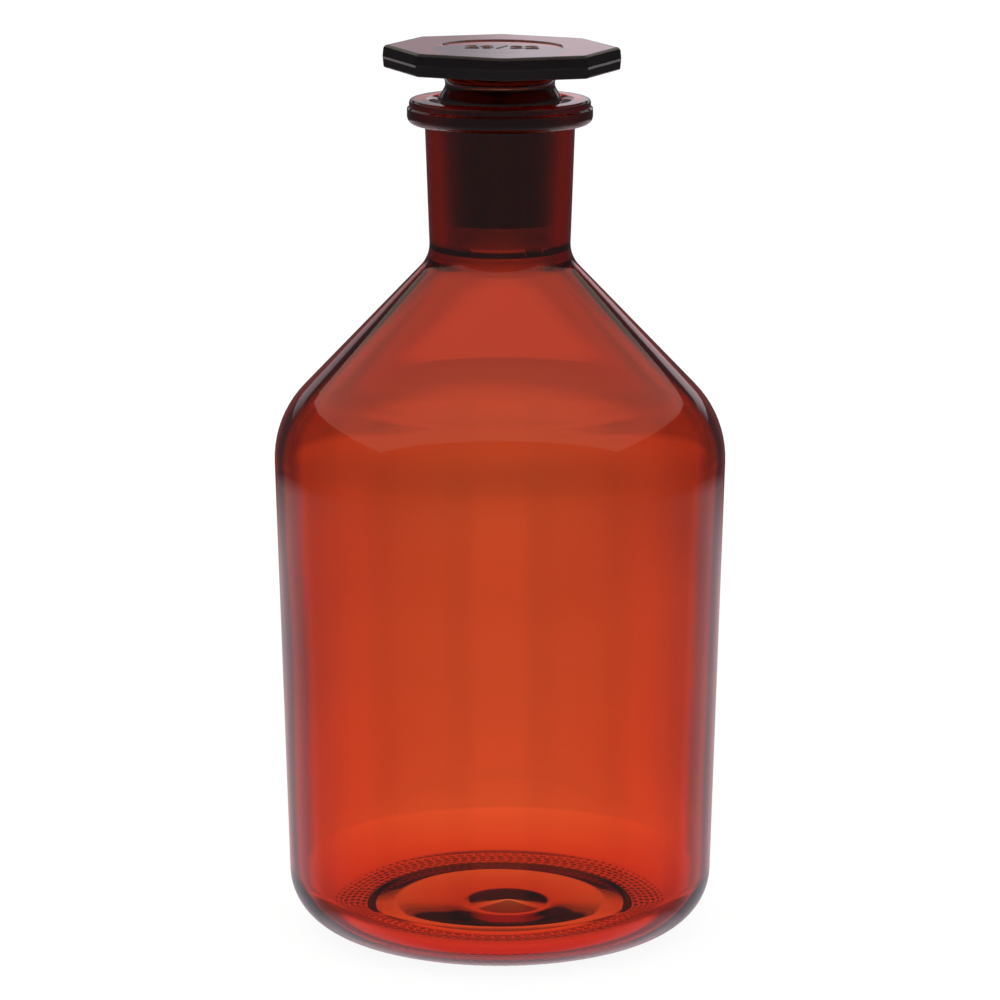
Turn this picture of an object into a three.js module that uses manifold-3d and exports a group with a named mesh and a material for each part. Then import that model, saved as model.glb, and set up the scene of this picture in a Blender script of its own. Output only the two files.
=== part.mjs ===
// Narrow-mouth reagent bottle with a ground-glass stopper.
// Two pieces of amber glass: a round vessel with a ground conical socket in its neck, and a solid
// stopper with a ground plug and a flat octagonal head.
// Millimetres, +Z up along the bottle's axis, origin at the centre of the base on the resting plane.

import * as THREE from 'three';
import { mergeVertices } from 'three/addons/utils/BufferGeometryUtils.js';
import Module from 'manifold-3d';

const wasm = await Module();
wasm.setup();

// Driving dimensions.
// The ground joint is a standard taper 29/32: 29.2 mm at its large end, 1:10 on the diameter.
const JOINT_LARGE_RADIUS = 14.6;
const JOINT_TAPER = 1 / 20; // on the radius, per millimetre of height
const JOINT_GAP = 0.3; // room left between plug and socket, measured on the radius

// Outer body. A corner is where two straight stretches of the outline would meet before rounding.
const BASE_CORNER_RADIUS = 50.8;
const SHOULDER_CORNER_RADIUS = 54.1;
const SHOULDER_CORNER_HEIGHT = 124;
const NECK_CORNER_RADIUS = 16.6;
const NECK_CORNER_HEIGHT = 163;
const HEEL_FILLET = 13;
const SHOULDER_FILLET = 24;
const NECK_FILLET = 8;

// Underside: a flat ring to stand on around a shallow push-up with a domed dimple at its centre.
const PUSH_UP_RADIUS = 32.4;
const PUSH_UP_STEP_WIDTH = 3.4;
const PUSH_UP_STEP_HEIGHT = 1.8;
const PUSH_UP_INNER_HEIGHT = 2.2;
const DIMPLE_RADIUS = 9.8;
const DIMPLE_DEPTH = 0.6;

// Neck and flange.
const NECK_TOP_RADIUS = 17.7;
const FLANGE_BOTTOM = 194.5;
const FLANGE_TOP = 200.4;
const FLANGE_RIDGE_HEIGHT = 198.2;
const FLANGE_LOWER_RADIUS = 21.9;
const FLANGE_UPPER_RADIUS = 21.4;
const FLANGE_EDGE_FILLET = 0.9;
const FLANGE_UNDER_FILLET = 2;
const SOCKET_CHAMFER = 0.5;

// Glass thickness.
const WALL = 3;
const FLOOR_THICKNESS = 5;
const SOCKET_BOTTOM = 164.4;
const THROAT_RADIUS = 12.7;
const THROAT_CORNER_HEIGHT = 161.4;

// Stopper.
const PLUG_BOTTOM = 171.4;
const PLUG_EDGE_FILLET = 0.8;
const WAIST_RADIUS = 12.9;
const WAIST_FLARE_HEIGHT = 203.4; // the waist starts here, above the flare that tops the plug
const WAIST_FLARE_FILLET = 2.5;
const HEAD_UNDER_FILLET = 3.6;
const HEAD_BOTTOM = 207.4;
const HEAD_PARTING_HEIGHT = 210.1;
const HEAD_TOP = 213.1;
const HEAD_CORNER_RADIUS = 28.1; // to a corner of the octagon, on the parting line
const HEAD_OFFSET = 0.45; // the head stands this far to +X of the plug's axis
const HEAD_DRAFT = 0.35; // how far the head's edges draw in above and below the parting line
const HEAD_TOP_FILLET = 1.2;
const HEAD_BOTTOM_FILLET = 0.4;
const RECESS_RADIUS = 14.4;
const RECESS_FLOOR_RADIUS = 13.6;
const RECESS_DEPTH = 0.4;

// Mesh fineness.
const ROUND_SEGMENTS = 64;
const HEAD_SIDES = 8;
const ARC_STEP = THREE.MathUtils.degToRad(15); // largest turn between two points of a rounded corner

const AMBER_GLASS = { color: 0xa83218, roughness: 0.06, metalness: 0 };
const AMBER_STOPPER_GLASS = { color: 0x7a2416, roughness: 0.08, metalness: 0 };

function corner(radius, height, fillet = 0) {
  return { point: new THREE.Vector2(radius, height), fillet };
}

// The points of the arc that rounds one corner between its two neighbours.
function roundedCorner(before, here, after) {
  const toBefore = before.point.clone().sub(here.point).normalize();
  const toAfter = after.point.clone().sub(here.point).normalize();
  const halfAngle = Math.acos(toBefore.dot(toAfter)) / 2;
  const setBack = here.fillet / Math.tan(halfAngle);
  const start = here.point.clone().addScaledVector(toBefore, setBack);
  const end = here.point.clone().addScaledVector(toAfter, setBack);
  const bisector = toBefore.clone().add(toAfter).normalize();
  const centre = here.point.clone().addScaledVector(bisector, here.fillet / Math.sin(halfAngle));
  const turn = Math.PI - 2 * halfAngle;
  const steps = Math.max(2, Math.ceil(turn / ARC_STEP));
  const startArm = start.sub(centre);
  const endArm = end.sub(centre);
  const direction = Math.sign(startArm.cross(endArm));
  const points = [];
  for (let step = 0; step <= steps; step += 1) {
    const arm = startArm.clone().rotateAround(new THREE.Vector2(), (direction * turn * step) / steps);
    points.push(centre.clone().add(arm));
  }
  return points;
}

// An outline through the corners, with an arc wherever a corner has a fillet.
function outline(corners) {
  return corners.flatMap((here, index) =>
    here.fillet > 0 ? roundedCorner(corners[index - 1], here, corners[index + 1]) : [here.point],
  );
}

// Turns an outline that starts and ends on the axis into a closed solid around +Z.
function turned(corners, segments) {
  const geometry = new THREE.LatheGeometry(outline(corners), segments);
  geometry.rotateX(Math.PI / 2);
  return geometry;
}

function toSolid(geometry) {
  const bare = geometry.clone();
  bare.deleteAttribute('normal');
  bare.deleteAttribute('uv');
  const merged = mergeVertices(bare, 1e-4);
  const mesh = new wasm.Mesh({
    numProp: 3,
    vertProperties: new Float32Array(merged.attributes.position.array),
    triVerts: new Uint32Array(merged.index.array),
  });
  return new wasm.Manifold(mesh);
}

function toGeometry(solid) {
  const mesh = solid.getMesh();
  const geometry = new THREE.BufferGeometry();
  geometry.setAttribute('position', new THREE.BufferAttribute(mesh.vertProperties, 3));
  geometry.setIndex(new THREE.BufferAttribute(mesh.triVerts, 1));
  geometry.computeVertexNormals();
  return geometry;
}

function plugRadiusAt(height) {
  return JOINT_LARGE_RADIUS - JOINT_GAP - (FLANGE_TOP - height) * JOINT_TAPER;
}

function socketRadiusAt(height) {
  return JOINT_LARGE_RADIUS - (FLANGE_TOP - height) * JOINT_TAPER;
}

// From the centre of the underside out to the heel, up the wall and in over the shoulder to the neck.
function bodyOutside() {
  const stepInnerRadius = PUSH_UP_RADIUS - PUSH_UP_STEP_WIDTH;
  const dimple = [0, 0.35, 0.7, 1].map((share) =>
    corner(DIMPLE_RADIUS * share, PUSH_UP_INNER_HEIGHT + DIMPLE_DEPTH * (1 - share * share)),
  );
  return [
    ...dimple,
    corner(stepInnerRadius, PUSH_UP_STEP_HEIGHT),
    corner(PUSH_UP_RADIUS, 0),
    corner(BASE_CORNER_RADIUS, 0, HEEL_FILLET),
    corner(SHOULDER_CORNER_RADIUS, SHOULDER_CORNER_HEIGHT, SHOULDER_FILLET),
    corner(NECK_CORNER_RADIUS, NECK_CORNER_HEIGHT, NECK_FILLET),
  ];
}

// The flange at the mouth, from the top of the neck over the rim to the edge of the socket.
function flangeOutside() {
  const shoulderStep = FLANGE_LOWER_RADIUS - FLANGE_UPPER_RADIUS;
  return [
    corner(NECK_TOP_RADIUS, FLANGE_BOTTOM),
    corner(FLANGE_LOWER_RADIUS, FLANGE_BOTTOM, FLANGE_UNDER_FILLET),
    corner(FLANGE_LOWER_RADIUS, FLANGE_RIDGE_HEIGHT),
    corner(FLANGE_UPPER_RADIUS, FLANGE_RIDGE_HEIGHT + shoulderStep),
    corner(FLANGE_UPPER_RADIUS, FLANGE_TOP, FLANGE_EDGE_FILLET),
    corner(JOINT_LARGE_RADIUS + SOCKET_CHAMFER, FLANGE_TOP),
  ];
}

// Down the ground socket, through the throat and out over the inside of the shoulder, wall and floor.
function inside() {
  return [
    corner(socketRadiusAt(FLANGE_TOP - SOCKET_CHAMFER), FLANGE_TOP - SOCKET_CHAMFER),
    corner(socketRadiusAt(SOCKET_BOTTOM), SOCKET_BOTTOM),
    corner(THROAT_RADIUS, THROAT_CORNER_HEIGHT, NECK_FILLET - WALL),
    corner(SHOULDER_CORNER_RADIUS - WALL, SHOULDER_CORNER_HEIGHT - WALL / 2, SHOULDER_FILLET - WALL),
    corner(BASE_CORNER_RADIUS - WALL, FLOOR_THICKNESS, HEEL_FILLET - WALL),
    corner(0, FLOOR_THICKNESS),
  ];
}

function bottle() {
  return turned([...bodyOutside(), ...flangeOutside(), ...inside()], ROUND_SEGMENTS);
}

// The ground plug, the flare that tops it, and the waist that runs up into the head.
function plugAndWaist() {
  const insideHead = (HEAD_BOTTOM + HEAD_TOP) / 2;
  return turned(
    [
      corner(0, PLUG_BOTTOM),
      corner(plugRadiusAt(PLUG_BOTTOM), PLUG_BOTTOM, PLUG_EDGE_FILLET),
      corner(plugRadiusAt(FLANGE_TOP), FLANGE_TOP),
      corner(WAIST_RADIUS, WAIST_FLARE_HEIGHT, WAIST_FLARE_FILLET),
      corner(WAIST_RADIUS, HEAD_BOTTOM, HEAD_UNDER_FILLET),
      corner(WAIST_RADIUS + HEAD_UNDER_FILLET, HEAD_BOTTOM),
      corner(WAIST_RADIUS + HEAD_UNDER_FILLET, insideHead),
      corner(0, insideHead),
    ],
    ROUND_SEGMENTS,
  );
}

// The octagonal head, widest on its parting line, with its top edge rounded.
function head() {
  const drawnIn = HEAD_CORNER_RADIUS - HEAD_DRAFT;
  return turned(
    [
      corner(0, HEAD_BOTTOM),
      corner(drawnIn, HEAD_BOTTOM, HEAD_BOTTOM_FILLET),
      corner(HEAD_CORNER_RADIUS, HEAD_PARTING_HEIGHT),
      corner(drawnIn, HEAD_TOP, HEAD_TOP_FILLET),
      corner(0, HEAD_TOP),
    ],
    HEAD_SIDES,
  );
}

// What is taken out of the head's top to leave a shallow round recess.
function recess() {
  const above = HEAD_TOP + RECESS_DEPTH;
  const wallSpread = RECESS_RADIUS - RECESS_FLOOR_RADIUS;
  return turned(
    [
      corner(0, HEAD_TOP - RECESS_DEPTH),
      corner(RECESS_FLOOR_RADIUS, HEAD_TOP - RECESS_DEPTH),
      corner(RECESS_RADIUS + wallSpread, above),
      corner(0, above),
    ],
    ROUND_SEGMENTS,
  );
}

function stopper() {
  const offset = [HEAD_OFFSET, 0, 0];
  const recessedHead = toSolid(head()).subtract(toSolid(recess())).translate(offset);
  return toGeometry(recessedHead.add(toSolid(plugAndWaist())));
}

function piece(name, geometry, finish) {
  const mesh = new THREE.Mesh(geometry, new THREE.MeshStandardMaterial(finish));
  mesh.name = name;
  return mesh;
}

const group = new THREE.Group();
group.add(piece('bottle', bottle(), AMBER_GLASS));
group.add(piece('stopper', stopper(), AMBER_STOPPER_GLASS));

export default group;
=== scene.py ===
"""Looks for the amber glass reagent bottle: vessel, ground-glass stopper, pale floor and studio light.

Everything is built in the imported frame: +Z up, origin at the centre of the base. Outlines are written in
millimetres and turned into metres where a mesh is made.
"""

import math

import bpy
import numpy as np
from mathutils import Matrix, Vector


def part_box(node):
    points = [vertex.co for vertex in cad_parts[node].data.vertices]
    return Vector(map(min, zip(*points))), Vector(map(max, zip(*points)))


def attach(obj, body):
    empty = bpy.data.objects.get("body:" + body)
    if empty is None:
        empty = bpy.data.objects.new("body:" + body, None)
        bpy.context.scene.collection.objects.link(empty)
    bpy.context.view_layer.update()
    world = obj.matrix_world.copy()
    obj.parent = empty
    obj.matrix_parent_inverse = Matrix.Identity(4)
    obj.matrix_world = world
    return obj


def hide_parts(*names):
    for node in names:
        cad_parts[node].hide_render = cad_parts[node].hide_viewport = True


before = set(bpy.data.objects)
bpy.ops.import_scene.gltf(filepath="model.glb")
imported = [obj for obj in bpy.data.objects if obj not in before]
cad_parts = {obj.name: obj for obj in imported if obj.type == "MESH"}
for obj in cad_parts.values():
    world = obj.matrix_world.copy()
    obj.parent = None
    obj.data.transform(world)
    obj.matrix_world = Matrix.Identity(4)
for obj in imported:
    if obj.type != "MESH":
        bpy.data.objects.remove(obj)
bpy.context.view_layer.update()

MM = 0.001
BOTTLE_LOW, BOTTLE_HIGH = (np.array(point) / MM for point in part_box("bottle"))
STOPPER_LOW, STOPPER_HIGH = (np.array(point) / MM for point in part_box("stopper"))

# Outer body, in millimetres. A corner is where two straight stretches would meet before rounding.
BASE_CORNER_RADIUS = 50.8
SHOULDER_CORNER_RADIUS = 54.1
SHOULDER_CORNER_HEIGHT = 124.0
NECK_CORNER_RADIUS = 16.6
NECK_CORNER_HEIGHT = 163.0
HEEL_FILLET = 13.0
SHOULDER_FILLET = 24.0
NECK_FILLET = 8.0

# Underside: stipples stand on a ring around a push-up, which steps up to a crest and sags back to a dimple.
STIPPLE_HEIGHT = 0.25
STIPPLE_ROWS = 6
STIPPLE_PITCH = 2.4
STIPPLE_HALF_LENGTH = 0.72
STIPPLE_HALF_WIDTH = 0.42
STIPPLE_INNER_RADIUS = 33.4
STIPPLE_OUTER_RADIUS = 41.0
PUSH_UP_RADIUS = 32.4
PUSH_UP_EDGE_WIDTH = 0.6
PUSH_UP_STEP_WIDTH = 1.8
PUSH_UP_STEP_HEIGHT = 1.45
PUSH_UP_CREST_RADIUS = 25.6
PUSH_UP_CREST_HEIGHT = 1.9
PUSH_UP_INNER_HEIGHT = 0.65
DIMPLE_RADIUS = 9.8
DIMPLE_RIM_WIDTH = 1.6
DIMPLE_DEPTH = 2.5
DIMPLE_TIP = 0.09  # how round the dimple's tip is, as a share of its radius
DIMPLE_OFFSET = 2.0  # towards +X, fading out between the two radii below
DIMPLE_OFFSET_FROM = 10.0
DIMPLE_OFFSET_TO = 18.0

# Neck and flange.
FLANGE_TOP = BOTTLE_HIGH[2]
FLANGE_BOTTOM = FLANGE_TOP - 5.9
FLANGE_RIDGE_HEIGHT = FLANGE_TOP - 2.2
FLANGE_LOWER_RADIUS = 21.9
FLANGE_UPPER_RADIUS = 21.4
NECK_TOP_RADIUS = 17.7

# Glass thickness, and the ground socket.
WALL = 3.0
FLOOR_THICKNESS = 4.4
SOCKET_TOP_RADIUS = 14.6
JOINT_TAPER = 1 / 20
SOCKET_BOTTOM = 164.4
GROUND_END = 159.9  # the grinding fades out above this height
GROUND_FADE = 3.0
THROAT_RADIUS = 12.7
THROAT_CORNER_HEIGHT = 162.4
WAVE_DEPTH = 0.12
WAVE_SEED = 3
WAVE_FADE = 20.0  # the waves grow from nothing over this much radius beyond the throat

# Stopper.
PLUG_BOTTOM = STOPPER_LOW[2]
PLUG_CLEARANCE = 0.04
WAIST_RADIUS = 12.9
WAIST_FLARE_HEIGHT = 203.4
HEAD_BOTTOM = 207.4
HEAD_PARTING_HEIGHT = 210.1
HEAD_TOP = STOPPER_HIGH[2] - 0.35
HEAD_OFFSET = 0.45
HEAD_LEAN = math.radians(0.6)
HEAD_CORNER_RADIUS = STOPPER_HIGH[0] - HEAD_OFFSET
HEAD_DRAFT = 0.3
HEAD_EDGE_FILLET = 0.8
HEAD_TOP_FILLET = 1.1
HEAD_BOTTOM_FILLET = 0.45
HEAD_SIDES = 8
RECESS_RADIUS = 14.4
RECESS_DEPTH = 0.32

# The joint size raised in the recess, drawn in units of a character's height.
MARK_TEXT = "29/32"
MARK_STROKES = {
    "2": [(-0.26, 0.3), (-0.14, 0.46), (0.08, 0.5), (0.25, 0.36), (0.24, 0.14), (-0.28, -0.5), (0.28, -0.5)],
    "3": [(-0.24, 0.4), (0.0, 0.5), (0.23, 0.36), (0.2, 0.12), (-0.02, 0.02), (0.24, -0.12), (0.24, -0.36)]
    + [(0.0, -0.5), (-0.26, -0.38)],
    "9": [(0.24, 0.16), (0.08, -0.02), (-0.14, 0.0), (-0.26, 0.2), (-0.16, 0.44), (0.08, 0.5), (0.24, 0.34)]
    + [(0.25, -0.1), (0.12, -0.42), (-0.16, -0.5)],
    "/": [(-0.22, -0.55), (0.22, 0.55)],
}
MARK_SIZE = 5.0
MARK_ADVANCE = 3.5
MARK_STROKE = 0.24
MARK_HEIGHT = 0.16
MARK_REACH = 10.2

# Mesh fineness.
TURN_COUNT = 192
FINE_TURN_COUNT = 768
ARC_STEP = math.radians(5)
WALL_STEP = 4.0
FINE_STEP = 0.22  # between rings under the stipples, which end at this radius and height
FINE_END_RADIUS = 42.0
FINE_END_HEIGHT = 5.0
MARK_STEP = 0.2

# The camera: 12.2 degrees down, almost a metre away, with a long lens.
CAMERA_DISTANCE = 0.992
CAMERA_HEIGHT = 0.31834
CAMERA_PITCH = math.radians(12.2)
CAMERA_LENS = 152.4
SENSOR_WIDTH = 36.0

# The studio: a pale floor and an overhead softbox, in metres.
FLOOR_HALF_SIZE = 4.0
FLOOR_GLOW = 0.92
SOFTBOX_PLACE = (-0.02, 0.54, 0.7)
SOFTBOX_AIM = (-0.02, 0.54, 0.0)
SOFTBOX_SIZE = (2.0, 1.9)
SOFTBOX_RADIANCE = 0.45
SOFTBOX_COLOUR = (1.0, 0.9, 0.75)
MIRRORED_TINT = (1, 0.88, 0.95, 1)
PANEL_EDGE = (math.radians(11), math.radians(19))  # from its middle: fade starts, ends

# Glass.
GLASS_IOR = 1.52
AMBER = (0.886, 0.4, 0.03, 1)
BOTTLE_DENSITY = 780.0
STOPPER_DENSITY = 1250.0
GROUND_ROUGHNESS = 0.38
# Painted shade: a grey base colour for ground zones, darkening them as the dim room seen through frosted
# glass would.
GROUND_PAINTED_SHADE = (0.16, 0.16, 0.16, 1)
SOCKET_GROUND = 1.0
PLUG_GROUND = 0.6


def corner(radius, height, fillet=0.0):
    """One corner of an outline, in millimetres, with the radius that rounds it."""
    return np.array([radius, height], float), fillet


def rounded(before, here, after, fillet):
    """The points of the arc that rounds one corner between its two neighbours."""
    to_before = (before - here) / np.linalg.norm(before - here)
    to_after = (after - here) / np.linalg.norm(after - here)
    half_angle = math.acos(float(np.clip(to_before @ to_after, -1, 1))) / 2
    set_back = fillet / math.tan(half_angle)
    bisector = (to_before + to_after) / np.linalg.norm(to_before + to_after)
    centre = here + bisector * fillet / math.sin(half_angle)
    start = here + to_before * set_back - centre
    end = here + to_after * set_back - centre
    turn = math.pi - 2 * half_angle
    direction = math.copysign(1.0, start[0] * end[1] - start[1] * end[0])
    steps = max(4, math.ceil(turn / ARC_STEP))
    angles = np.linspace(0, direction * turn, steps + 1)
    cos, sin = np.cos(angles), np.sin(angles)
    arms = np.stack([start[0] * cos - start[1] * sin, start[0] * sin + start[1] * cos], axis=1)
    return list(centre + arms)


def outline(corners, longest):
    """Points through the corners, rounded by their fillets, with no straight step longer than longest."""
    bare = [here for here, _ in corners]
    points = []
    for index, (here, fillet) in enumerate(corners):
        if fillet > 0:
            points += rounded(bare[index - 1], here, bare[index + 1], fillet)
        else:
            points.append(here)
    filled = [points[0]]
    for point in points[1:]:
        start = filled[-1]
        steps = max(1, math.ceil(np.linalg.norm(point - start) / longest))
        filled += [start + (point - start) * step / steps for step in range(1, steps + 1)]
    return np.array(filled)


def stitch(first, first_count, second, second_count):
    """Faces between two rings of vertices, facing out where the outline runs from the underside up.

    One ring may be a single point, or have a whole multiple of the other's count.
    """
    if second_count < first_count:
        return [face[::-1] for face in stitch(second, second_count, first, first_count)]
    if first_count == 1:
        return [(first, second + (i + 1) % second_count, second + i) for i in range(second_count)]
    ratio = second_count // first_count
    middle = ratio // 2
    faces = []
    for side in range(first_count):
        here, following = first + side, first + (side + 1) % first_count
        steps = [second + (side * ratio + i) % second_count for i in range(ratio + 1)]
        faces += [(here, steps[i + 1], steps[i]) for i in range(middle)]
        if ratio == 1:
            faces.append((here, following, steps[1], steps[0]))
            continue
        faces.append((here, following, steps[middle]))
        faces += [(following, steps[i + 1], steps[i]) for i in range(middle, ratio)]
    return faces


def ring_mesh(name, rings, ground):
    """A closed mesh through rings of points in millimetres. ground holds one number for each ring."""
    starts = np.cumsum([0] + [len(ring) for ring in rings])
    faces = []
    for index in range(len(rings) - 1):
        faces += stitch(starts[index], len(rings[index]), starts[index + 1], len(rings[index + 1]))
    vertices = np.concatenate(rings) * MM
    mesh = bpy.data.meshes.new(name)
    mesh.from_pydata(vertices.tolist(), [], [tuple(int(v) for v in face) for face in faces])
    mesh.update()
    attribute = mesh.attributes.new("ground", "FLOAT", "POINT")
    attribute.data.foreach_set("value", np.repeat(ground, [len(ring) for ring in rings]).astype(float))
    mesh.polygons.foreach_set("use_smooth", [True] * len(mesh.polygons))
    piece = bpy.data.objects.new(name, mesh)
    bpy.context.scene.collection.objects.link(piece)
    return piece


def turn_angles(count):
    return np.arange(count) * 2 * math.pi / count - math.pi / 2


def circle(radius, height, count):
    """A ring of points around the axis, or the one point on it."""
    if np.max(radius) < 1e-6:
        return np.array([[0.0, 0.0, float(np.mean(height))]])
    angles = turn_angles(count)
    heights = np.broadcast_to(height, angles.shape)
    return np.stack([radius * np.cos(angles), radius * np.sin(angles), heights], axis=1)


def stipple(radius, angles):
    """How far the underside stands down at this radius: staggered rows of small rounded bars."""
    row_gap = (STIPPLE_OUTER_RADIUS - STIPPLE_INNER_RADIUS) / (STIPPLE_ROWS - 1)
    row = int(np.clip(round((radius - STIPPLE_INNER_RADIUS) / row_gap), 0, STIPPLE_ROWS - 1))
    row_radius = STIPPLE_INNER_RADIUS + row * row_gap
    count = round(2 * math.pi * row_radius / STIPPLE_PITCH)
    phase = angles * count / (2 * math.pi) + 0.37 * row**2
    along = (phase - np.round(phase)) * 2 * math.pi / count * row_radius
    reach = (along / STIPPLE_HALF_LENGTH) ** 2 + ((radius - row_radius) / STIPPLE_HALF_WIDTH) ** 2
    outermost = 0.5 if row == STIPPLE_ROWS - 1 else 1.0
    return outermost * STIPPLE_HEIGHT * np.clip(1 - reach, 0, 1)


def dimple_rise(share):
    """How far the dimple has risen, from 1 at its rounded tip to 0 at its rim."""
    rim, tip = math.hypot(1, DIMPLE_TIP), DIMPLE_TIP
    return (rim - math.hypot(share, DIMPLE_TIP)) / (rim - tip)


def flow(angles, height, seed):
    """Slow waves left in the glass by blowing and pressing, between about -1 and 1."""
    rng = np.random.default_rng(seed)
    total = np.zeros_like(angles)
    for _ in range(7):
        lobes = rng.integers(1, 6)
        pitch = rng.uniform(35, 120)
        phase, drift = rng.uniform(0, 2 * math.pi, 2)
        total = total + np.sin(lobes * angles + phase) * np.sin(height * 2 * math.pi / pitch + drift)
    return total / 3.5


def build_bottle():
    """The vessel: one closed skin from the underside, over the flange and down the inside to the floor."""
    step_inner = PUSH_UP_RADIUS - PUSH_UP_STEP_WIDTH
    underside = outline(
        [
            *[
                corner(DIMPLE_RADIUS * share, PUSH_UP_INNER_HEIGHT + DIMPLE_DEPTH * dimple_rise(share))
                for share in np.linspace(0, 1, 24)
            ],
            corner(DIMPLE_RADIUS + DIMPLE_RIM_WIDTH, PUSH_UP_INNER_HEIGHT),
            corner(PUSH_UP_CREST_RADIUS, PUSH_UP_CREST_HEIGHT, 9.0),
            corner(step_inner, PUSH_UP_STEP_HEIGHT, 1.5),
            corner(PUSH_UP_RADIUS, STIPPLE_HEIGHT, 0.8),
            corner(PUSH_UP_RADIUS + PUSH_UP_EDGE_WIDTH, STIPPLE_HEIGHT),
        ],
        2.0,
    )
    heel_and_wall = outline(
        [
            corner(PUSH_UP_RADIUS + PUSH_UP_EDGE_WIDTH, STIPPLE_HEIGHT),
            corner(BASE_CORNER_RADIUS, STIPPLE_HEIGHT, HEEL_FILLET),
            corner(SHOULDER_CORNER_RADIUS, SHOULDER_CORNER_HEIGHT, SHOULDER_FILLET),
            corner(NECK_CORNER_RADIUS, NECK_CORNER_HEIGHT, NECK_FILLET),
            corner(NECK_TOP_RADIUS, FLANGE_BOTTOM, 0.5),
            corner(FLANGE_LOWER_RADIUS, FLANGE_BOTTOM, 2.0),
            corner(FLANGE_LOWER_RADIUS, FLANGE_RIDGE_HEIGHT, 0.12),
            corner(FLANGE_UPPER_RADIUS, FLANGE_RIDGE_HEIGHT + 0.45, 0.2),
            corner(FLANGE_UPPER_RADIUS, FLANGE_TOP, 0.9),
            corner(SOCKET_TOP_RADIUS + 0.6, FLANGE_TOP),
        ],
        WALL_STEP,
    )
    in_ring = (heel_and_wall[:, 0] < FINE_END_RADIUS) & (heel_and_wall[:, 1] < FINE_END_HEIGHT)
    standing_ring = heel_and_wall[in_ring]
    above = heel_and_wall[len(standing_ring):]
    fine = outline([corner(*point) for point in standing_ring], FINE_STEP)
    socket = outline(
        [
            corner(SOCKET_TOP_RADIUS + 0.6, FLANGE_TOP),
            corner(SOCKET_TOP_RADIUS - 0.03, FLANGE_TOP - 0.6),
            corner(socket_radius(SOCKET_BOTTOM), SOCKET_BOTTOM),
        ],
        2.5,
    )
    inside = outline(
        [
            corner(socket_radius(SOCKET_BOTTOM), SOCKET_BOTTOM),
            corner(THROAT_RADIUS, THROAT_CORNER_HEIGHT, NECK_FILLET - WALL),
            corner(SHOULDER_CORNER_RADIUS - WALL, SHOULDER_CORNER_HEIGHT - WALL / 2, SHOULDER_FILLET - WALL),
            corner(BASE_CORNER_RADIUS - WALL, FLOOR_THICKNESS, HEEL_FILLET - WALL),
            corner(0, FLOOR_THICKNESS),
        ],
        WALL_STEP,
    )
    rings = [circle(r, z, TURN_COUNT) for r, z in underside]
    for ring, (r, _) in zip(rings, underside):
        share = (DIMPLE_OFFSET_TO - r) / (DIMPLE_OFFSET_TO - DIMPLE_OFFSET_FROM)
        ring[:, 0] += DIMPLE_OFFSET * np.clip(share, 0, 1)
    ground = [0.0] * len(rings)
    fine_angles = turn_angles(FINE_TURN_COUNT)
    for r, z in fine[1:]:
        rings.append(circle(r, z - stipple(r, fine_angles), FINE_TURN_COUNT))
        ground.append(0.0)
    for r, z in above:
        rings.append(circle(r, z, TURN_COUNT))
        ground.append(0.0)
    for r, z in socket[1:]:
        rings.append(circle(r, z, TURN_COUNT))
        ground.append(SOCKET_GROUND)
    angles = turn_angles(TURN_COUNT)
    for r, z in inside[1:]:
        wave = WAVE_DEPTH * flow(angles, z, WAVE_SEED) * np.clip((r - THROAT_RADIUS) / WAVE_FADE, 0, 1)
        rings.append(circle(r + wave, z, TURN_COUNT))
        ground.append(float(np.clip((z - GROUND_END) / GROUND_FADE, 0, 1)))
    return ring_mesh("bottle_glass", rings, ground)


def socket_radius(height):
    return SOCKET_TOP_RADIUS - (FLANGE_TOP - height) * JOINT_TAPER


def plug_radius(height):
    return socket_radius(height) - PLUG_CLEARANCE


def octagon(corner_radius, height, edge_fillet):
    """A ring of TURN_COUNT points around a regular octagon with rounded corners, one corner towards -Y."""
    half = math.pi / HEAD_SIDES
    arc_steps, per_side = 8, TURN_COUNT // HEAD_SIDES
    centre_radius = corner_radius - edge_fillet / math.cos(half)
    spread = np.linspace(-half, half, arc_steps + 1)
    points = []
    for side in range(HEAD_SIDES):
        here = side * 2 * half - math.pi / 2
        following = here + 2 * half
        arc = [
            centre_radius * np.array([math.cos(here), math.sin(here)])
            + edge_fillet * np.array([math.cos(here + s), math.sin(here + s)])
            for s in spread
        ]
        end = centre_radius * np.array([math.cos(following), math.sin(following)]) + edge_fillet * np.array(
            [math.cos(following - half), math.sin(following - half)]
        )
        straight_steps = per_side - arc_steps
        straight = [arc[-1] + (end - arc[-1]) * i / straight_steps for i in range(1, straight_steps)]
        points += arc + straight
    ring = np.array(points)
    ring = np.roll(ring, -(arc_steps // 2), axis=0)
    return np.column_stack([ring, np.full(len(ring), height)])


def stroke_distance(x, y, start, end):
    """Distance from points to a straight stroke."""
    (x0, y0), (x1, y1) = start, end
    along = np.clip(((x - x0) * (x1 - x0) + (y - y0) * (y1 - y0)) / ((x1 - x0) ** 2 + (y1 - y0) ** 2), 0, 1)
    return np.hypot(x - x0 - along * (x1 - x0), y - y0 - along * (y1 - y0))


def mark(x, y):
    """The joint size, 29/32, as raised strokes: 1 on a stroke and 0 off it."""
    nearest = np.full_like(x, 9.0)
    for index, glyph in enumerate(MARK_TEXT):
        left = (index - (len(MARK_TEXT) - 1) / 2) * MARK_ADVANCE
        points = [(left + px * MARK_SIZE, py * MARK_SIZE) for px, py in MARK_STROKES[glyph]]
        for start, end in zip(points, points[1:]):
            nearest = np.minimum(nearest, stroke_distance(x, y, start, end))
    return np.clip((MARK_STROKE + 0.12 - nearest) / 0.24, 0, 1)


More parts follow.
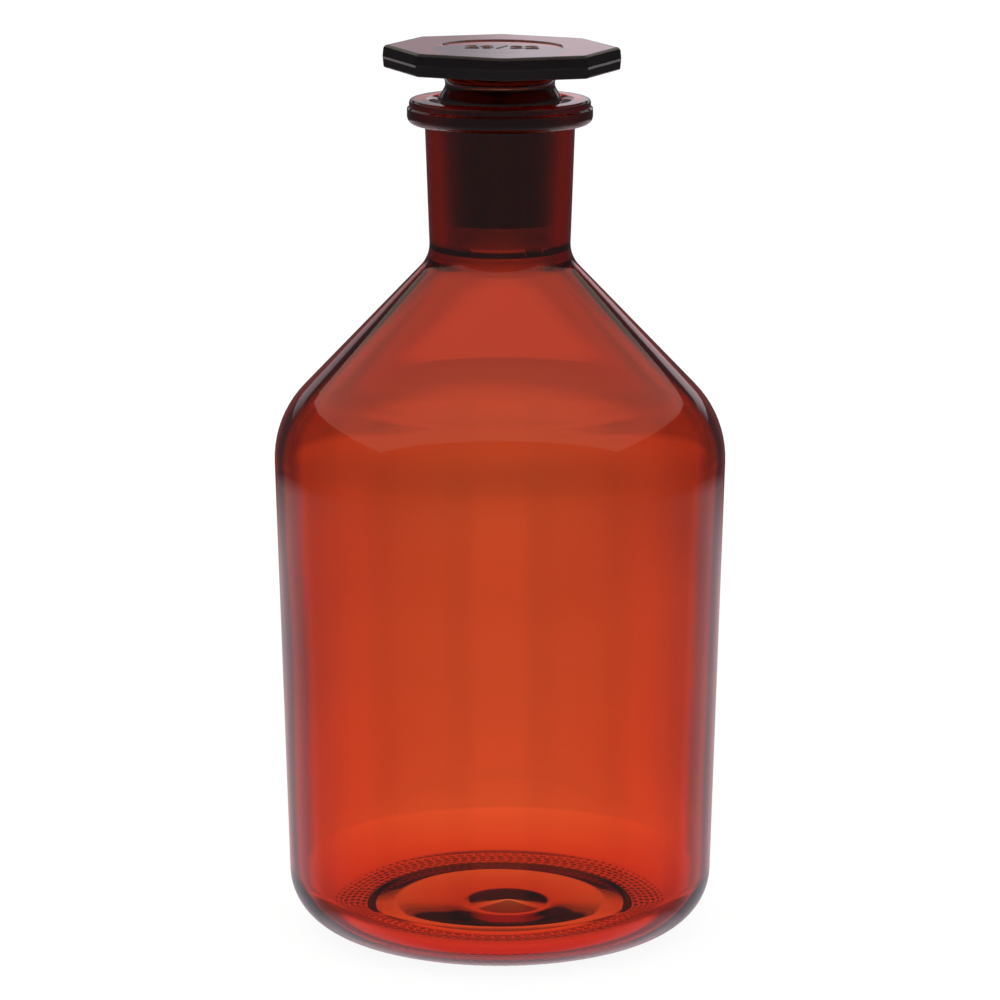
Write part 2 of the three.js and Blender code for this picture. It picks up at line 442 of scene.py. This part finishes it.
def lean(ring):
    """The head sits a little off centre and dips towards +X, as pressed heads do; the plug stays true."""
    share = np.clip((ring[:, 2] - HEAD_BOTTOM + 1.5) / 1.5, 0, 1)
    ring[:, 0] += HEAD_OFFSET * share
    ring[:, 2] -= share * ring[:, 0] * math.tan(HEAD_LEAN)


def build_stopper():
    """The stopper: one closed skin from the plug's end, up the waist and over the octagonal head."""
    plug = outline(
        [
            corner(0, PLUG_BOTTOM),
            corner(plug_radius(PLUG_BOTTOM), PLUG_BOTTOM, 0.8),
            corner(plug_radius(FLANGE_TOP), FLANGE_TOP),
        ],
        2.0,
    )
    waist = outline(
        [
            corner(plug_radius(FLANGE_TOP), FLANGE_TOP),
            corner(WAIST_RADIUS, WAIST_FLARE_HEIGHT, 2.5),
            corner(WAIST_RADIUS, HEAD_BOTTOM, 3.6),
            corner(WAIST_RADIUS + 3.8, HEAD_BOTTOM),
        ],
        1.0,
    )
    rings = []
    ground = []
    for r, z in plug:
        rings.append(circle(r, z, TURN_COUNT))
        ground.append(PLUG_GROUND if r > 10 else 0.0)
    for r, z in waist[1:]:
        rings.append(circle(r, z, TURN_COUNT))
        ground.append(0.0)
    under_circle = rings[-1]
    rim = HEAD_CORNER_RADIUS - HEAD_DRAFT
    under_rim = octagon(rim - HEAD_BOTTOM_FILLET, HEAD_BOTTOM, HEAD_EDGE_FILLET)
    for share in np.linspace(0, 1, 8)[1:]:
        rings.append(under_circle + (under_rim - under_circle) * share)
        ground.append(0.0)
    side = outline(
        [
            corner(rim - HEAD_BOTTOM_FILLET, HEAD_BOTTOM),
            corner(rim, HEAD_BOTTOM, HEAD_BOTTOM_FILLET * 0.95),
            corner(HEAD_CORNER_RADIUS - 0.04, HEAD_PARTING_HEIGHT - 0.05),
            corner(HEAD_CORNER_RADIUS, HEAD_PARTING_HEIGHT),
            corner(HEAD_CORNER_RADIUS - 0.04, HEAD_PARTING_HEIGHT + 0.05),
            corner(rim, HEAD_TOP, HEAD_TOP_FILLET),
            corner(rim - HEAD_TOP_FILLET - 0.4, HEAD_TOP),
        ],
        1.0,
    )
    for r, z in side[1:]:
        rings.append(octagon(r, z, max(0.2, HEAD_EDGE_FILLET - 0.5 * (HEAD_CORNER_RADIUS - r))))
        ground.append(0.0)
    top_rim = rings[-1]
    recess_rim = circle(RECESS_RADIUS + 0.5, HEAD_TOP, TURN_COUNT)
    for share in np.linspace(0, 1, 8)[1:]:
        rings.append(top_rim + (recess_rim - top_rim) * share)
        ground.append(0.0)
    floor_height = HEAD_TOP - RECESS_DEPTH
    recess = outline(
        [
            corner(RECESS_RADIUS + 0.5, HEAD_TOP),
            corner(RECESS_RADIUS, HEAD_TOP, 0.3),
            corner(RECESS_RADIUS - 0.5, floor_height, 0.3),
            corner(MARK_REACH, floor_height),
        ],
        1.0,
    )
    for r, z in recess[1:]:
        rings.append(circle(r, z, TURN_COUNT))
        ground.append(0.0)
    for r in np.arange(MARK_REACH - MARK_STEP, MARK_STEP / 2, -MARK_STEP):
        ring = circle(r, floor_height, FINE_TURN_COUNT if r > 2 else TURN_COUNT)
        ring[:, 2] += MARK_HEIGHT * mark(ring[:, 0], ring[:, 1])
        rings.append(ring)
        ground.append(0.0)
    rings.append(circle(0.0, floor_height, 1))
    ground.append(0.0)
    for ring in rings:
        lean(ring)
    return ring_mesh("stopper_glass", rings, ground)


def add_node(tree, kind, **values):
    node = tree.nodes.new(kind)
    for key, value in values.items():
        if key in node.inputs:
            node.inputs[key].default_value = value
        else:
            setattr(node, key, value)
    return node


def glass(name, density):
    """Amber glass: absorbs blue and green along the light's path, and is rough where it is ground; there it
    is also painted grey, as painted shade for the dim room that frosted glass would scatter.
    """
    material = bpy.data.materials.new(name)
    material.use_nodes = True
    tree = material.node_tree
    shader = tree.nodes["Principled BSDF"]
    output = tree.nodes["Material Output"]
    shader.inputs["Base Color"].default_value = (1, 1, 1, 1)
    shader.inputs["Transmission Weight"].default_value = 1.0
    shader.inputs["IOR"].default_value = GLASS_IOR
    ground = add_node(tree, "ShaderNodeAttribute", attribute_name="ground")
    rough = add_node(tree, "ShaderNodeMapRange", **{"To Min": 0.0, "To Max": GROUND_ROUGHNESS})
    tree.links.new(ground.outputs["Fac"], rough.inputs["Value"])
    tree.links.new(rough.outputs["Result"], shader.inputs["Roughness"])
    # Mixes in the painted shade: ground zones get the grey base colour, which darkens them in place of the
    # dim room that frosted glass would scatter.
    colour_mix = add_node(tree, "ShaderNodeMix", data_type="RGBA")
    tree.links.new(ground.outputs["Fac"], colour_mix.inputs["Factor"])
    colour_mix.inputs[6].default_value = (1, 1, 1, 1)
    colour_mix.inputs[7].default_value = GROUND_PAINTED_SHADE
    tree.links.new(colour_mix.outputs[2], shader.inputs["Base Color"])
    absorption = add_node(tree, "ShaderNodeVolumeAbsorption", Density=density)
    absorption.inputs["Color"].default_value = AMBER
    tree.links.new(absorption.outputs["Volume"], output.inputs["Volume"])
    return material


def floor():
    """A pale shooting table that glows a little, so that what stands on it hardly shades it."""
    mesh = bpy.data.meshes.new("floor")
    edge = FLOOR_HALF_SIZE
    corners = [(-edge, -edge, 0), (edge, -edge, 0), (edge, edge, 0), (-edge, edge, 0)]
    mesh.from_pydata(corners, [], [(0, 1, 2, 3)])
    plane = bpy.data.objects.new("floor", mesh)
    bpy.context.scene.collection.objects.link(plane)
    material = bpy.data.materials.new("floor_white")
    material.use_nodes = True
    shader = material.node_tree.nodes["Principled BSDF"]
    shader.inputs["Base Color"].default_value = (0.1, 0.1, 0.1, 1)
    shader.inputs["Roughness"].default_value = 0.9
    shader.inputs["Specular IOR Level"].default_value = 0.0
    shader.inputs["Emission Color"].default_value = (1, 1, 1, 1)
    shader.inputs["Emission Strength"].default_value = FLOOR_GLOW
    mesh.materials.append(material)
    plane.visible_glossy = False
    plane.visible_transmission = False


def softbox():
    """One large overhead softbox, out of the camera's sight."""
    data = bpy.data.lights.new("overhead_softbox", "AREA")
    data.shape = "RECTANGLE"
    data.size, data.size_y = SOFTBOX_SIZE
    data.energy = SOFTBOX_RADIANCE * math.pi * SOFTBOX_SIZE[0] * SOFTBOX_SIZE[1]
    data.color = SOFTBOX_COLOUR
    light = bpy.data.objects.new("overhead_softbox", data)
    light.location = SOFTBOX_PLACE
    aim = Vector(SOFTBOX_AIM) - Vector(SOFTBOX_PLACE)
    light.rotation_euler = aim.to_track_quat("-Z", "Y").to_euler()
    light.visible_camera = False
    bpy.context.scene.collection.objects.link(light)


def ramp(tree, source, start, end, low, high):
    """A smooth step of a value from low at start to high at end."""
    node = add_node(tree, "ShaderNodeMapRange", interpolation_type="SMOOTHSTEP")
    for key, value in (("From Min", start), ("From Max", end), ("To Min", low), ("To Max", high)):
        node.inputs[key].default_value = value
    tree.links.new(source, node.inputs["Value"])
    return node.outputs["Result"]


def combine(tree, operation, first, *others):
    """A value worked out from two or more by one operation; a number may stand for any of them."""
    for other in others:
        node = add_node(tree, "ShaderNodeMath", operation=operation)
        for socket, value in zip(node.inputs, (first, other)):
            if isinstance(value, (int, float)):
                socket.default_value = value
            else:
                tree.links.new(value, socket)
        first = node.outputs["Value"]
    return first


def mirrored_room(tree, across, ahead, up):
    """What the glass mirrors: a dim room, the pale table below, and a bright strip of sweep behind."""
    table = combine(
        tree,
        "MULTIPLY",
        ramp(tree, up, -0.2, -0.24, 0.0, 1.0),
        ramp(tree, ahead, 0.35, 0.72, 0.25, 0.58),
    )
    beneath = combine(
        tree,
        "MULTIPLY",
        ramp(tree, up, -0.35, -0.65, 0.0, 0.95),
        ramp(tree, ahead, -0.5, 0.5, 0.35, 1.0),
    )
    sweep = combine(
        tree,
        "MULTIPLY",
        ramp(tree, up, 0.065, 0.09, 0.0, 1.0),
        ramp(tree, up, 0.19, 0.23, 1.0, 0.0),
        ramp(tree, ahead, 0.8, 0.92, 0.0, 0.8),
        ramp(tree, across, -0.01, 0.012, 0.58, 1.04),
    )
    room = ramp(tree, ahead, -0.3, 0.75, 0.2, 0.07)
    return combine(tree, "MAXIMUM", table, beneath, sweep, room)


def backlight(tree, bearing, up):
    """What is seen through the glass: white panels all round, with dark gaps that draw the outlines."""
    panels = combine(
        tree,
        "MAXIMUM",
        ramp(tree, combine(tree, "PINGPONG", bearing, math.pi / 4), *PANEL_EDGE, 1.0, 0.15),
        ramp(tree, combine(tree, "PINGPONG", bearing, math.pi / 8), *PANEL_EDGE, 0.6, 0.15),
        ramp(tree, up, -0.4, -0.5, 0.0, 1.0),
    )
    steep = combine(
        tree,
        "MAXIMUM",
        ramp(tree, up, -0.55, -0.49, 0.3, 1.0),
        ramp(tree, up, -0.72, -0.65, 1.0, 0.3),
    )
    behind = combine(
        tree,
        "MULTIPLY",
        panels,
        ramp(tree, up, -0.24, -0.205, 1.0, 0.74),
        ramp(tree, up, -0.31, -0.25, 1.4, 1.0),
        ramp(tree, up, -0.2, -0.17, 1.0, 1.2),
        ramp(tree, up, -0.16, -0.13, 1.0, 0.65),
        steep,
        ramp(tree, up, 0.15, 0.25, 1.0, 0.0),
    )
    return combine(tree, "MAXIMUM", behind, 0.04)


def studio():
    """A white surround, with other brightness where the glass mirrors it or light comes through the glass."""
    world = bpy.data.worlds.new("studio")
    bpy.context.scene.world = world
    world.use_nodes = True
    tree = world.node_tree
    background = tree.nodes["Background"]
    direction = add_node(tree, "ShaderNodeSeparateXYZ")
    tree.links.new(add_node(tree, "ShaderNodeTexCoord").outputs["Generated"], direction.inputs[0])
    across, ahead, up = direction.outputs
    bearing = combine(tree, "ARCTAN2", across, ahead)
    level = combine(tree, "SQRT", combine(tree, "SUBTRACT", 1.0, combine(tree, "MULTIPLY", up, up)), 0.0)
    facing = combine(tree, "DIVIDE", ahead, combine(tree, "MAXIMUM", level, 0.001))

    path = add_node(tree, "ShaderNodeLightPath").outputs
    not_diffuse = combine(tree, "SUBTRACT", 1.0, path["Is Diffuse Ray"])
    mirror_ray = combine(tree, "MULTIPLY", path["Is Reflection Ray"], not_diffuse)
    through_ray = path["Is Transmission Ray"]
    plain = combine(tree, "SUBTRACT", 1.0, mirror_ray, through_ray)
    mirrored = combine(tree, "MULTIPLY", mirror_ray, mirrored_room(tree, across, facing, up))
    seen_through = combine(tree, "MULTIPLY", through_ray, backlight(tree, bearing, up))
    tree.links.new(combine(tree, "ADD", plain, mirrored, seen_through), background.inputs["Strength"])
    colour_mix = add_node(tree, "ShaderNodeMix", data_type="RGBA")
    tree.links.new(mirror_ray, colour_mix.inputs["Factor"])
    colour_mix.inputs[6].default_value = (1, 1, 1, 1)
    colour_mix.inputs[7].default_value = MIRRORED_TINT
    tree.links.new(colour_mix.outputs[2], background.inputs["Color"])


def camera():
    data = bpy.data.cameras.new("camera")
    data.lens = CAMERA_LENS
    data.sensor_width = SENSOR_WIDTH
    data.clip_start, data.clip_end = 0.01, 50
    view = bpy.data.objects.new("camera", data)
    view.location = (0, -CAMERA_DISTANCE, CAMERA_HEIGHT)
    view.rotation_euler = (math.pi / 2 - CAMERA_PITCH, 0, 0)
    bpy.context.scene.collection.objects.link(view)
    bpy.context.scene.camera = view


def render_settings():
    scene = bpy.context.scene
    scene.view_settings.view_transform = "Standard"
    scene.view_settings.look = "None"
    scene.cycles.use_denoising = True
    scene.cycles.max_bounces = 24
    scene.cycles.transmission_bounces = 24
    scene.cycles.glossy_bounces = 8


def dress(piece, body, node, material):
    piece.data.materials.append(material)
    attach(piece, body)
    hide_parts(node)


camera()
floor()
studio()
softbox()
render_settings()
dress(build_bottle(), "bottle", "bottle", glass("amber_glass", BOTTLE_DENSITY))
dress(build_stopper(), "stopper", "stopper", glass("stopper_glass", STOPPER_DENSITY))
